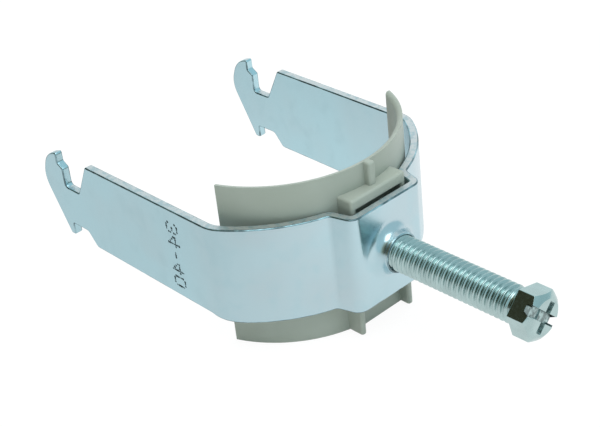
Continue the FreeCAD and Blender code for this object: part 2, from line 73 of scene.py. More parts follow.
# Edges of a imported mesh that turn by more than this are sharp
SHARP_TURN = math.radians(32.0)
# Lowest corner of the strap, and both corners of the screw, at rest
strap_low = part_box("strap")[0]
screw_low, screw_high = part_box("clamp_screw")

# Dot numerals, five columns by seven rows, read from the top row down
DOT_COLUMNS = 5
DOT_ROWS = 7
NUMERALS = {
    "0": (".###.", "#...#", "#...#", "#...#", "#...#", "#...#", ".###."),
    "1": ("..#..", ".##..", "..#..", "..#..", "..#..", "..#..", ".###."),
    "2": (".###.", "#...#", "....#", "...#.", "..#..", ".#...", "#####"),
    "3": (".###.", "#...#", "....#", "..##.", "....#", "#...#", ".###."),
    "4": ("...#.", "..##.", ".#.#.", "#..#.", "#####", "...#.", "...#."),
    "5": ("#####", "#....", "####.", "....#", "....#", "#...#", ".###."),
    "6": (".###.", "#....", "#....", "####.", "#...#", "#...#", ".###."),
    "7": ("#####", "....#", "...#.", "...#.", "..#..", "..#..", "..#.."),
    "8": (".###.", "#...#", "#...#", ".###.", "#...#", "#...#", ".###."),
    "9": (".###.", "#...#", "#...#", ".####", "....#", "....#", ".###."),
    "-": (".....", ".....", ".....", ".###.", ".....", ".....", "....."),
}

# One flank of the thread, from its crest to its root, as shares of the pitch and of the depth
THREAD_FLANK = ((0.06, 0.0), (0.14, 0.13), (0.28, 0.55), (0.42, 0.93), (0.5, 1.0))


class StrapFinish(bpy.types.PropertyGroup):
    """Sizes and colours of the bent zinc strap"""
    colour: bpy.props.FloatVectorProperty(
        name="Zinc colour", description="Colour of the plated sheet", subtype="COLOR",
        size=3, min=0.0, max=1.0, default=(0.48, 0.705, 0.77))
    crown_colour: bpy.props.FloatVectorProperty(
        name="Crown colour", description="Second tint, towards the crown and in slow clouds", subtype="COLOR",
        size=3, min=0.0, max=1.0, default=(0.505, 0.635, 0.68))
    edge_colour: bpy.props.FloatVectorProperty(
        name="Edge colour", description="Colour of the sheared edges", subtype="COLOR",
        size=3, min=0.0, max=1.0, default=(0.77, 0.78, 0.78))
    # The rims are darkened to this share of their colour as painted shade, for the dark reflections along the
    # edges.
    rim_painted_shade: bpy.props.FloatProperty(
        name="Rim shade", description="Share of the colour left on the dull patches of the rims",
        subtype="FACTOR", min=0.0, max=1.0, default=0.3)
    roughness: bpy.props.FloatProperty(
        name="Roughness", description="Roughness of the plated sheet", subtype="FACTOR",
        min=0.0, max=1.0, default=0.25)
    edge_roughness: bpy.props.FloatProperty(
        name="Edge roughness", description="Roughness of the sheared edges", subtype="FACTOR",
        min=0.0, max=1.0, default=0.5)
    edge_round: bpy.props.FloatProperty(
        name="Edge round", description="Width of the rounding along the sheared edges", unit="LENGTH",
        min=0.0, default=0.22 * MM)
    numbers: bpy.props.StringProperty(
        name="Numbers", description="Plain size range in millimetres, punched into the near leg",
        default="34-40")
    dot_pitch: bpy.props.FloatProperty(
        name="Dot pitch", description="Distance between the punched dots", unit="LENGTH",
        min=0.0, default=0.43 * MM)
    dot_size: bpy.props.FloatProperty(
        name="Dot size", description="Mean diameter of a punched dot at the surface", unit="LENGTH",
        min=0.0, default=0.43 * MM)
    dot_depth: bpy.props.FloatProperty(
        name="Dot depth", description="Depth of a punched dot", unit="LENGTH",
        min=0.0, default=0.16 * MM)
    numbers_place: bpy.props.FloatVectorProperty(
        name="Numbers place", description="Middle of the number field, along and across the leg",
        unit="LENGTH", size=2, default=(0.8 * MM, 0.2 * MM))


class SaddleFinish(bpy.types.PropertyGroup):
    """Colours and gloss of the moulded pressure saddle"""
    colour: bpy.props.FloatVectorProperty(
        name="Plastic colour", description="Colour of the moulded plastic", subtype="COLOR",
        size=3, min=0.0, max=1.0, default=(0.352, 0.38, 0.332))
    cloud_colour: bpy.props.FloatVectorProperty(
        name="Cloud colour", description="Second tint, where the melt flowed", subtype="COLOR",
        size=3, min=0.0, max=1.0, default=(0.328, 0.356, 0.304))
    roughness: bpy.props.FloatProperty(
        name="Roughness", description="Mean roughness of the plastic", subtype="FACTOR",
        min=0.0, max=1.0, default=0.42)


class ScrewForm(bpy.types.PropertyGroup):
    """Sizes and colours of the clamp screw"""
    colour: bpy.props.FloatVectorProperty(
        name="Zinc colour", description="Colour of the plated screw", subtype="COLOR",
        size=3, min=0.0, max=1.0, default=(0.44, 0.58, 0.575))
    roughness: bpy.props.FloatProperty(
        name="Roughness", description="Mean roughness of the plated screw", subtype="FACTOR",
        min=0.0, max=1.0, default=0.2)
    thread_radius: bpy.props.FloatProperty(
        name="Thread radius", description="Radius over the thread's crests", unit="LENGTH",
        min=0.0, default=3.0 * MM)
    pitch: bpy.props.FloatProperty(
        name="Pitch", description="Distance from one turn of the thread to the next", unit="LENGTH",
        min=0.0, default=1.0 * MM)
    thread_depth: bpy.props.FloatProperty(
        name="Thread depth", description="From the crests to the roots", unit="LENGTH",
        min=0.0, default=0.55 * MM)
    neck_length: bpy.props.FloatProperty(
        name="Neck length", description="Plain neck under the head", unit="LENGTH",
        min=0.0, default=0.7 * MM)
    tip_chamfer: bpy.props.FloatProperty(
        name="Tip chamfer", description="Length of the chamfer on the screw's tip", unit="LENGTH",
        min=0.0, default=0.7 * MM)
    head_height: bpy.props.FloatProperty(
        name="Head height", description="Height of the hexagon head", unit="LENGTH",
        min=0.0, default=3.9 * MM)
    head_across: bpy.props.FloatProperty(
        name="Across flats", description="Width of the hexagon over its flats", unit="LENGTH",
        min=0.0, default=7.4 * MM)
    head_face: bpy.props.FloatProperty(
        name="Head face", description="Diameter of the flat end face inside the chamfer", unit="LENGTH",
        min=0.0, default=5.9 * MM)
    head_slope: bpy.props.FloatProperty(
        name="Chamfer slope", description="Slope of the head's chamfer to its end face", unit="ROTATION",
        subtype="ANGLE", default=math.radians(36.0))
    head_turn: bpy.props.FloatProperty(
        name="Head turn", description="Angle of the hexagon's first corner about the screw", unit="ROTATION",
        subtype="ANGLE", default=math.radians(46.7))
    edge_round: bpy.props.FloatProperty(
        name="Edge round", description="Width of the rounding along the head's edges", unit="LENGTH",
        min=0.0, default=0.05 * MM)
    slot_width: bpy.props.FloatProperty(
        name="Slot width", description="Width of the driver slot", unit="LENGTH",
        min=0.0, default=1.6 * MM)
    slot_depth: bpy.props.FloatProperty(
        name="Slot depth", description="Depth of the driver slot", unit="LENGTH",
        min=0.0, default=1.5 * MM)
    wing_length: bpy.props.FloatProperty(
        name="Wing length", description="Length of the cross recess over its wings", unit="LENGTH",
        min=0.0, default=5.2 * MM)
    wing_width: bpy.props.FloatProperty(
        name="Wing width", description="Width of the cross recess's wings at the end face", unit="LENGTH",
        min=0.0, default=1.3 * MM)
    wing_depth: bpy.props.FloatProperty(
        name="Wing depth", description="Depth of the cross recess", unit="LENGTH",
        min=0.0, default=1.7 * MM)


class StudioLook(bpy.types.PropertyGroup):
    """Camera, lamps and floor of the studio"""
    camera_place: bpy.props.FloatVectorProperty(
        name="Camera place", description="Where the camera stands", subtype="TRANSLATION", unit="LENGTH",
        size=3, default=(-131.704 * MM, -157.965 * MM, 120.708 * MM))
    camera_turn: bpy.props.FloatVectorProperty(
        name="Camera turn", description="How the camera is turned", subtype="EULER", unit="ROTATION",
        size=3, default=(math.radians(58.757), math.radians(5.514), math.radians(-43.866)))
    lens: bpy.props.FloatProperty(
        name="Lens", description="Focal length on a sensor 36 mm wide", unit="CAMERA", default=84.424)
    floor_colour: bpy.props.FloatVectorProperty(
        name="Floor colour", description="Colour of the pale floor", subtype="COLOR",
        size=3, min=0.0, max=1.0, default=(1.0, 0.97, 0.94))
    floor_level: bpy.props.FloatProperty(
        name="Floor level", description="Level at which the floor shows to the camera", default=0.94)
    sky_colour: bpy.props.FloatVectorProperty(
        name="Sky colour", description="Colour of the studio between its white side and its unlit corner",
        subtype="COLOR", size=3, min=0.0, max=1.0, default=(0.70, 0.93, 1.0))
    sky_level: bpy.props.FloatProperty(
        name="Sky level", description="Level of the studio between its white side and its unlit corner",
        default=0.78)
    lit_colour: bpy.props.FloatVectorProperty(
        name="Lit colour", description="Colour of the studio's white side", subtype="COLOR",
        size=3, min=0.0, max=1.0, default=(0.93, 0.98, 1.0))
    lit_level: bpy.props.FloatProperty(
        name="Lit level", description="Level of the studio's white side", default=1.05)
    lit_side: bpy.props.FloatVectorProperty(
        name="Lit side", description="Direction of the studio's white side", subtype="DIRECTION",
        size=3, default=(0.80, 0.50, 0.10))
    lit_reach: bpy.props.FloatProperty(
        name="Lit reach", description="Half angle of the studio's white side", unit="ROTATION",
        subtype="ANGLE", default=math.radians(25.0))
    lit_fade: bpy.props.FloatProperty(
        name="Lit fade", description="Angle over which the white side fades out", unit="ROTATION",
        subtype="ANGLE", default=math.radians(25.0))
    dark_colour: bpy.props.FloatVectorProperty(
        name="Dark colour", description="Colour of the studio's unlit corner", subtype="COLOR",
        size=3, min=0.0, max=1.0, default=(1.0, 0.95, 0.55))
    dark_level: bpy.props.FloatProperty(
        name="Dark level", description="Level of the studio's unlit corner", default=0.05)
    dark_side: bpy.props.FloatVectorProperty(
        name="Dark side", description="Direction of the studio's unlit corner", subtype="DIRECTION",
        size=3, default=(-0.70, 0.50, 0.38))
    dark_reach: bpy.props.FloatProperty(
        name="Dark reach", description="Half angle of the studio's unlit corner", unit="ROTATION",
        subtype="ANGLE", default=math.radians(26.0))
    dark_fade: bpy.props.FloatProperty(
        name="Dark fade", description="Angle over which the unlit corner fades out", unit="ROTATION",
        subtype="ANGLE", default=math.radians(34.0))
    lamp_aim: bpy.props.FloatVectorProperty(
        name="Lamp aim", description="Point that both lamps look at", subtype="TRANSLATION", unit="LENGTH",
        size=3, default=(0.0, -10.0 * MM, 0.0))
    overhead_place: bpy.props.FloatVectorProperty(
        name="Overhead place", description="Where the wide overhead lamp hangs", subtype="TRANSLATION",
        unit="LENGTH", size=3, default=(50.0 * MM, -60.0 * MM, 500.0 * MM))
    overhead_size: bpy.props.FloatVectorProperty(
        name="Overhead size", description="Width and height of the overhead lamp", unit="LENGTH",
        size=2, min=0.0, default=(800.0 * MM, 800.0 * MM))
    overhead_power: bpy.props.FloatProperty(
        name="Overhead power", description="Power of the overhead lamp", unit="POWER", min=0.0, default=2.35)
    highlight_place: bpy.props.FloatVectorProperty(
        name="Highlight place", description="Where the small lamp for the highlights hangs",
        subtype="TRANSLATION", unit="LENGTH", size=3, default=(-90.0 * MM, -150.0 * MM, 480.0 * MM))
    highlight_size: bpy.props.FloatVectorProperty(
        name="Highlight size", description="Width and height of the lamp for the highlights", unit="LENGTH",
        size=2, min=0.0, default=(340.0 * MM, 280.0 * MM))
    highlight_power: bpy.props.FloatProperty(
        name="Highlight power", description="Power of the lamp for the highlights", unit="POWER",
        min=0.0, default=0.68)


def new_material(name):
    """Makes a material and gives it back with its node tree and its main shader."""
    material = bpy.data.materials.new(name)
    material.use_nodes = True
    tree = material.node_tree
    shader = tree.nodes["Principled BSDF"]
    return material, tree, shader


def feed(tree, socket, value):
    """Links a socket to another one, or sets it to a plain value."""
    if isinstance(value, bpy.types.NodeSocket):
        tree.links.new(value, socket)
    else:
        socket.default_value = value


def add_node(tree, kind, inputs=None, **settings):
    """Adds a node, sets its properties and fills its sockets with values or links."""
    node = tree.nodes.new(kind)
    for key, value in settings.items():
        setattr(node, key, value)
    for key, value in (inputs or {}).items():
        feed(tree, node.inputs[key], value)
    return node


def own_coordinates(tree):
    """Gives the object's own coordinates, in metres."""
    return add_node(tree, "ShaderNodeTexCoord").outputs["Object"]


def facing_up_or_down(tree):
    """Gives how far a surface faces up or down on the part, from 0 to 1."""
    place = add_node(tree, "ShaderNodeTexCoord")
    parts = add_node(tree, "ShaderNodeSeparateXYZ", {"Vector": place.outputs["Normal"]})
    height = add_node(tree, "ShaderNodeMath", {0: parts.outputs["Z"]}, operation="ABSOLUTE")
    return height.outputs["Value"]


def reckon(tree, operation, first, second, clamp=False):
    """Works out one value from two."""
    inputs = {0: first, 1: second}
    return add_node(tree, "ShaderNodeMath", inputs, operation=operation, use_clamp=clamp).outputs["Value"]


def along_way(tree, place, way):
    """Gives how far a place or direction lies along a way."""
    inputs = {0: place, 1: way}
    return add_node(tree, "ShaderNodeVectorMath", inputs, operation="DOT_PRODUCT").outputs["Value"]


def noise(tree, place, scale, detail):
    """Gives a soft noise value from 0 to 1, with a scale per metre."""
    inputs = {"Vector": place, "Scale": scale, "Detail": detail}
    return add_node(tree, "ShaderNodeTexNoise", inputs).outputs["Fac"]


def spread(tree, value, low, high, to_low=0.0, to_high=1.0):
    """Maps a value's range to another range, with its ends held."""
    inputs = {"Value": value, "From Min": low, "From Max": high, "To Min": to_low, "To Max": to_high}
    return add_node(tree, "ShaderNodeMapRange", inputs).outputs["Result"]


def mix_colours(tree, share, first, second):
    """Mixes two colours by a share."""
    node = tree.nodes.new("ShaderNodeMix")
    node.data_type = "RGBA"
    places = {"Factor_Float": share, "A_Color": first, "B_Color": second}
    for socket in node.inputs:
        if socket.identifier in places:
            feed(tree, socket, places[socket.identifier])
    return next(socket for socket in node.outputs if socket.identifier == "Result_Color")


def opaque(colour, share=1.0):
    """Gives a share of a colour, with its alpha."""
    return (share * colour[0], share * colour[1], share * colour[2], 1.0)


def rough_surface(tree, shader, height, distance, strength):
    """Puts a bump under the main shader."""
    inputs = {"Height": height, "Distance": distance, "Strength": strength}
    bump = add_node(tree, "ShaderNodeBump", inputs)
    tree.links.new(bump.outputs["Normal"], shader.inputs["Normal"])


def make_metal(tree, shader, tint, roughness):
    """Makes the main shader bare metal with a tint and a roughness."""
    feed(tree, shader.inputs["Base Color"], tint)
    feed(tree, shader.inputs["Metallic"], 1.0)
    feed(tree, shader.inputs["Roughness"], roughness)


def zinc_sheet_material(finish):
    """Rolled sheet with bright zinc: slow tint clouds, faint blotches and mottled sheared edges."""
    material, tree, shader = new_material("zinc_strap_plating")
    place = own_coordinates(tree)
    clouds = noise(tree, place, scale=75.0, detail=2.0)
    clouds = spread(tree, clouds, low=0.35, high=0.65, to_low=-0.25, to_high=0.25)
    axes = add_node(tree, "ShaderNodeSeparateXYZ", {"Vector": place})
    along = spread(tree, axes.outputs["Y"], low=strap_low.y / 2.0, high=0.0, to_low=0.85, to_high=0.15)
    share = reckon(tree, "ADD", along, clouds, clamp=True)
    tint = mix_colours(tree, share, opaque(finish.colour), opaque(finish.crown_colour))
    blotches = noise(tree, place, scale=330.0, detail=4.0)
    blotches = spread(tree, blotches, low=0.5, high=0.8, to_high=0.6)
    tint = mix_colours(tree, blotches, tint, opaque(finish.colour, share=0.9))
    sheared = noise(tree, place, scale=1100.0, detail=3.0)
    sheared = spread(tree, sheared, low=0.45, high=0.62, to_high=0.5)
    edge_tint = mix_colours(tree, sheared, opaque(finish.edge_colour), opaque(finish.colour, share=0.8))
    edge = spread(tree, facing_up_or_down(tree), low=0.90, high=0.98)
    tint = mix_colours(tree, edge, tint, edge_tint)
    rough = spread(tree, edge, low=0.0, high=1.0, to_low=finish.roughness, to_high=finish.edge_roughness)
    make_metal(tree, shader, tint, rough)
    return material


def rim_material(finish):
    """Rounded rims along the sheared edges: painted shade in noise patches, with most of the sheet's colour
    between them.
    """
    material, tree, shader = new_material("zinc_strap_rims")
    painted_shade_patches = noise(tree, own_coordinates(tree), scale=420.0, detail=3.0)
    painted_shade_patches = spread(tree, painted_shade_patches, low=0.4, high=0.66)
    # Painted shade: the rims' dark patches.
    painted_shade = opaque(finish.colour, share=finish.rim_painted_shade)
    tint = mix_colours(tree, painted_shade_patches, painted_shade, opaque(finish.colour, share=0.9))
    make_metal(tree, shader, tint, finish.roughness)
    return material


def punched_material(finish):
    """Bottom of the punched dots: zinc darkened as painted shade in the recesses, mottled by a fine grain."""
    material, tree, shader = new_material("zinc_punched_dots")
    grain = noise(tree, own_coordinates(tree), scale=4000.0, detail=2.0)
    grain = spread(tree, grain, low=0.35, high=0.7)
    # Painted shade: the dots keep only 12 to 30 percent of the sheet's colour.
    tint = mix_colours(tree, grain, opaque(finish.colour, share=0.12), opaque(finish.colour, share=0.3))
    make_metal(tree, shader, tint, roughness=0.45)
    return material


def moulded_material(finish):
    """Moulded grey plastic: slow flow clouds, fine grain and a low sheen."""
    material, tree, shader = new_material("grey_moulded_plastic")
    place = own_coordinates(tree)
    clouds = noise(tree, place, scale=110.0, detail=3.0)
    clouds = spread(tree, clouds, low=0.35, high=0.65)
    tint = mix_colours(tree, clouds, opaque(finish.colour), opaque(finish.cloud_colour))
    grain = noise(tree, place, scale=2600.0, detail=3.0)
    smooth = finish.roughness - 0.05
    coarse = finish.roughness + 0.08
    rough = spread(tree, grain, low=0.3, high=0.7, to_low=smooth, to_high=coarse)
    feed(tree, shader.inputs["Base Color"], tint)
    feed(tree, shader.inputs["Roughness"], rough)
    feed(tree, shader.inputs["Specular IOR Level"], 0.45)
    rough_surface(tree, shader, grain, distance=0.02 * MM, strength=0.25)
    return material


def zinc_screw_material(form):
    """Bright zinc on a rolled screw: close grain and slow tint changes."""
    material, tree, shader = new_material("zinc_screw_plating")
    place = own_coordinates(tree)
    clouds = noise(tree, place, scale=420.0, detail=3.0)
    clouds = spread(tree, clouds, low=0.35, high=0.65)
    tint = mix_colours(tree, clouds, opaque(form.colour), opaque(form.colour, share=0.88))
    grain = noise(tree, place, scale=2200.0, detail=3.0)
    smooth = form.roughness - 0.04
    coarse = form.roughness + 0.06
    rough = spread(tree, grain, low=0.3, high=0.7, to_low=smooth, to_high=coarse)
    make_metal(tree, shader, tint, rough)
    rough_surface(tree, shader, grain, distance=0.015 * MM, strength=0.15)
    return material


def recess_material(form):
    """Slot and cross recess: rough zinc, darker in patches."""
    material, tree, shader = new_material("zinc_screw_recess")
    patches = noise(tree, own_coordinates(tree), scale=1500.0, detail=3.0)
    bright = spread(tree, patches, low=0.42, high=0.62)
    tint = mix_colours(tree, bright, opaque(form.colour, share=0.45), opaque(form.colour))
    make_metal(tree, shader, tint, roughness=0.35)
    rough_surface(tree, shader, patches, distance=0.08 * MM, strength=0.5)
    return material


def set_material(obj, material):
    """Gives an object this one material."""
    if obj.material_slots:
        for slot in obj.material_slots:
            slot.material = material
    else:
        obj.data.materials.append(material)


def join_points(node, name):
    """Joins points that lie closer than the reach of a seam, by a modifier alone."""
    weld = node.modifiers.new(name, "WELD")
    weld.merge_threshold = SEAM_REACH


def merge_flat_faces(node):
    """Joins the triangles of each flat face, by a modifier alone."""
    merge = node.modifiers.new("merge_flat_faces", "DECIMATE")
    merge.decimate_type = "DISSOLVE"
    merge.angle_limit = math.radians(0.4)


def round_edges(node, name, width, limit, miter):
    """Rounds the edges that turn by more than a limit, by a modifier alone."""
    bevel = node.modifiers.new(name, "BEVEL")
    bevel.width = width
    bevel.segments = 2
    bevel.limit_method = "ANGLE"
    bevel.angle_limit = limit
    bevel.use_clamp_overlap = False
    bevel.miter_outer = miter
    return bevel


def cut_away(node, name, tool):
    """Cuts a tool's closed forms out of a piece, with the tool's materials on the cut faces."""
    cut = node.modifiers.new(name, "BOOLEAN")
    cut.operation = "DIFFERENCE"
    cut.solver = "EXACT"
    cut.use_self = True
    cut.object = tool
    cut.material_mode = "TRANSFER"


def even_normals(node):
    """Keeps flat faces flat beside rounded edges."""
    weighted = node.modifiers.new("even_normals", "WEIGHTED_NORMAL")
    weighted.mode = "FACE_AREA"
    weighted.weight = 60


def mesh_object(name, mesh):
    """Puts a finished mesh into the scene as an object."""
    data = bpy.data.meshes.new(name)
    mesh.to_mesh(data)
    mesh.free()
    obj = bpy.data.objects.new(name, data)
    bpy.context.scene.collection.objects.link(obj)
    return obj


def smooth_faces(obj):
    """Shades all faces of an object smooth."""
    faces = obj.data.polygons
    faces.foreach_set("use_smooth", [True] * len(faces))


def dot_places(finish):
    """Gives the punched dots' places along and across the leg, reading downwards."""
    gap = 1
    pitch = finish.dot_pitch
    step = DOT_COLUMNS + gap
    length = (len(finish.numbers) * step - gap - 1) * pitch
    places = []
    for count, sign in enumerate(finish.numbers):
        for row, line in enumerate(NUMERALS[sign]):
            for column, mark in enumerate(line):
                if mark == "#":
                    across = length / 2.0 - (count * step + column) * pitch
                    along = ((DOT_ROWS - 1) / 2.0 - row) * pitch
                    places.append((along, across))
    return places


def add_punches(mesh, finish, face):
    """Adds one ball for each dot, sunk into the leg's outer face, with dots of uneven width."""
    uneven = 0.25
    wander = 2.4
    sag = finish.dot_depth
    for count, (along, across) in enumerate(dot_places(finish)):
        half = finish.dot_size / 2.0 * (1.0 + uneven * math.sin(wander * count))
        radius = (half * half + sag * sag) / (2.0 * sag)
        centre = Vector((face - (radius - sag), finish.numbers_place[0] + along,
                         finish.numbers_place[1] + across))
        bmesh.ops.create_icosphere(mesh, subdivisions=2, radius=radius, matrix=Matrix.Translation(centre))


def add_rim_disc(mesh, rim):
    """Adds a disc that takes a hair off the collar's rim, and gives the cut the second material, the rims'
    painted shade.
    """
    trim = 0.035 * MM
    depth = 1.0 * MM
    radius = 4.5 * MM
    sides = 96
    place = Matrix.Translation((0.0, rim + trim - depth / 2.0, 0.0))
    upright = Matrix.Rotation(math.radians(90.0), 4, "X")
    disc = bmesh.ops.create_cone(mesh, cap_ends=True, segments=sides, radius1=radius, radius2=radius,
                                 depth=depth, matrix=place @ upright)
    for point in disc["verts"]:
        # The cut ring takes the rims' painted shade.
        for side in point.link_faces:
            side.material_index = 1


def strap_cutter(finish, face, rim):
    """Makes one hidden mesh with the punches on the leg and the disc on the collar."""
    mesh = bmesh.new()
    add_punches(mesh, finish, face)
    add_rim_disc(mesh, rim)
    cutter = mesh_object("strap_punches", mesh)
    cutter.hide_render = True
    cutter.hide_viewport = True
    return cutter


class SADDLECLIP_OT_dress_strap(bpy.types.Operator):
    """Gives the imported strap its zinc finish, its rounded sheared edges and its punched numbers"""
    bl_idname = "saddle_clip.dress_strap"
    bl_label = "Dress strap"

    def execute(self, context):
        finish = context.scene.clip_strap
        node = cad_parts["strap"]
        set_material(node, zinc_sheet_material(finish))
        join_points(node, "join_seams")
        merge_flat_faces(node)
        rims = round_edges(node, "round_edges", finish.edge_round, SHARP_TURN, miter="MITER_ARC")
        # The rounded rims get their painted shade from this material.
        rim = rim_material(finish)
        node.data.materials.append(rim)
        rims.material = len(node.data.materials) - 1
        cutter = strap_cutter(finish, face=strap_low.x, rim=strap_low.y)
        # The dots' cut faces take this painted shade.
        cutter.data.materials.append(punched_material(finish))
        cutter.data.materials.append(rim)
        cut_away(node, "punch_strap", cutter)
        join_points(node, "drop_slivers")
        even_normals(node)
        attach(cutter, "strap")
        return {"FINISHED"}


class SADDLECLIP_OT_dress_saddle(bpy.types.Operator):
    """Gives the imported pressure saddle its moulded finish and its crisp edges"""
    bl_idname = "saddle_clip.dress_saddle"
    bl_label = "Dress pressure saddle"

    def execute(self, context):
        finish = context.scene.clip_saddle
        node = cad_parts["pressure_saddle"]
        set_material(node, moulded_material(finish))
        join_points(node, "join_seams")
        crisp = node.modifiers.new("crisp_edges", "EDGE_SPLIT")
        crisp.split_angle = SHARP_TURN
        return {"FINISHED"}


def thread_profile(form):
    """Gives the points of one turn, as shares of the pitch and depths below the crest."""
    depth = form.thread_depth
    rising = [(-share, part * depth) for share, part in reversed(THREAD_FLANK)]
    falling = [(share, part * depth) for share, part in THREAD_FLANK[:-1]]
    return rising + falling


def shank_radius(form, place, depth, seat, tip):
    """Gives the shank's radius at a place and a depth of thread, with its neck and its chamfered tip."""
    tip_step = 0.12 * MM
    neck_share = 0.42
    fade_turns = 0.9
    crest = form.thread_radius
    tip_radius = crest - form.thread_depth - tip_step
    neck_radius = crest - neck_share * form.thread_depth
    fade = fade_turns * form.pitch
    radius = crest - depth
    from_neck = place - seat - form.neck_length
    if from_neck < fade:
        part = min(1.0, max(0.0, 1.0 - from_neck / fade))
        radius += (neck_radius - radius) * part
    limit = tip_radius + (crest - tip_radius) * max(0.0, tip - place) / form.tip_chamfer
    return min(radius, limit)


def thread_column(mesh, form, angle, lead, seat, tip):
    """Adds the points of the shank at one angle, with the thread moved on by a lead."""
    spare_turns = 3
    turns = int((tip - seat) / form.pitch) + spare_turns
    profile = thread_profile(form)
    column = []
    for turn in range(-1, turns):
        for share, depth in profile:
            place = seat + form.pitch * (turn + share + lead)
            radius = shank_radius(form, place, depth, seat, tip)
            place = min(tip, max(seat, place))
            column.append(mesh.verts.new((radius * math.cos(angle), place, radius * math.sin(angle))))
    return column


def thread_mesh(form, seat, tip):
    """Builds the threaded shank about the Y axis, from under the head at seat to the tip."""
    steps = 64
    reach = 0.0005 * MM
    mesh = bmesh.new()
    columns = []
    for step in range(steps):
        angle = 2.0 * math.pi * step / steps
        columns.append(thread_column(mesh, form, angle, step / steps, seat, tip))
    count = len(columns[0])
    turn_points = len(thread_profile(form))
    for step in range(steps):
        this = columns[step]
        if step + 1 < steps:
            pairs = [(index, columns[step + 1][index]) for index in range(count)]
        else:
            pairs = [(index, columns[0][index + turn_points]) for index in range(count - turn_points)]
        for (low, low_next), (high, high_next) in zip(pairs, pairs[1:]):
            mesh.faces.new((this[low], low_next, high_next, this[high]))
    bmesh.ops.remove_doubles(mesh, verts=mesh.verts, dist=reach)
    bmesh.ops.dissolve_degenerate(mesh, edges=mesh.edges, dist=reach)
    loose = [vertex for vertex in mesh.verts if not vertex.link_faces]
    bmesh.ops.delete(mesh, geom=loose, context="VERTS")
    rims = [edge for edge in mesh.edges if edge.is_boundary]
    bmesh.ops.holes_fill(mesh, edges=rims, sides=0)
    bmesh.ops.recalc_face_normals(mesh, faces=mesh.faces)
    return mesh


def head_outline(form):
    """Gives the points of the hexagon's outline, with slightly rounded corners."""
    corner = form.head_across / math.sqrt(3.0)
    round_radius = 0.16 * MM
    inner = corner - round_radius * 2.0 / math.sqrt(3.0)
    arc_steps = 4
    flat_steps = 10
    points = []
    for side in range(6):
        turn = form.head_turn + side * math.pi / 3.0
        centre = Vector((inner * math.cos(turn), inner * math.sin(turn)))
        for step in range(arc_steps + 1):
            angle = turn + math.radians(-30.0 + 60.0 * step / arc_steps)
            points.append(centre + round_radius * Vector((math.cos(angle), math.sin(angle))))
        start = points[-1]
        ahead = turn + math.pi / 3.0
        away = Vector((inner * math.cos(ahead), inner * math.sin(ahead)))
        facing = ahead - math.radians(30.0)
        finish = away + round_radius * Vector((math.cos(facing), math.sin(facing)))
        for step in range(1, flat_steps):
            points.append(start.lerp(finish, step / flat_steps))
    return points


def head_mesh(form, seat, front):
    """Builds the hexagon head with its conical chamfer, closed, without recesses."""
    mesh = bmesh.new()
    face_radius = form.head_face / 2.0
    slope = math.tan(form.head_slope)
    foot_drop = 0.12 * MM
    rings = []
    for point in head_outline(form):
        radius = point.length
        way = point / radius
        edge = front + max(0.0, radius - face_radius) * slope
        foot = way * (radius - foot_drop)
        face = way * face_radius
        rings.append([
            mesh.verts.new((foot.x, seat, foot.y)),
            mesh.verts.new((point.x, seat - foot_drop, point.y)),
            mesh.verts.new((point.x, edge, point.y)),
            mesh.verts.new((face.x, front, face.y)),
        ])
    for index, ring in enumerate(rings):
        ahead = rings[(index + 1) % len(rings)]
        for level in range(len(ring) - 1):
            mesh.faces.new((ring[level], ahead[level], ahead[level + 1], ring[level + 1]))
    mesh.faces.new([ring[0] for ring in rings])
    mesh.faces.new([ring[-1] for ring in rings])
    bmesh.ops.recalc_face_normals(mesh, faces=mesh.faces)
    return mesh


def recess_mesh(form, front):
    """Builds the tool that cuts the straight slot and the tapered cross wings, one closed block each."""
    mesh = bmesh.new()
    out = 1.0 * MM
    straight = 1.0
    wing_thin = 0.5
    wing_short = 0.35
    slot_turn = form.head_turn + math.pi / 2.0
    blocks = [
        (slot_turn, form.head_across, form.slot_width, form.slot_depth, straight, straight),
        (form.head_turn, form.wing_length, form.wing_width, form.wing_depth, wing_thin, wing_short),
    ]
    sides = ((0, 1, 2, 3), (7, 6, 5, 4), (0, 4, 5, 1), (1, 5, 6, 2), (2, 6, 7, 3), (3, 7, 4, 0))
    for turn, length, width, depth, thin, short in blocks:
        along = Vector((math.cos(turn), 0.0, math.sin(turn)))
        across = Vector((-math.sin(turn), 0.0, math.cos(turn)))
        top = front - out
        bottom = front + depth
        grow_wide = (1.0 - thin) * out / depth
        grow_long = (1.0 - short) * out / depth
        corners = []
        for place, wide, long in ((top, 1.0 + grow_wide, 1.0 + grow_long), (bottom, thin, short)):
            for side_long, side_wide in ((-1, -1), (1, -1), (1, 1), (-1, 1)):
                point = along * (side_long * length * long / 2.0)
                point = point + across * (side_wide * width * wide / 2.0) + Vector((0.0, place, 0.0))
                corners.append(mesh.verts.new(point))
        for side in sides:
            mesh.faces.new([corners[index] for index in side])
    bmesh.ops.recalc_face_normals(mesh, faces=mesh.faces)
    return mesh


def settle_modifiers(obj):
    """Puts the result of an object's modifiers into its mesh."""
    graph = bpy.context.evaluated_depsgraph_get()
    settled = bpy.data.meshes.new_from_object(obj.evaluated_get(graph), depsgraph=graph)
    obj.modifiers.clear()
    obj.data = settled


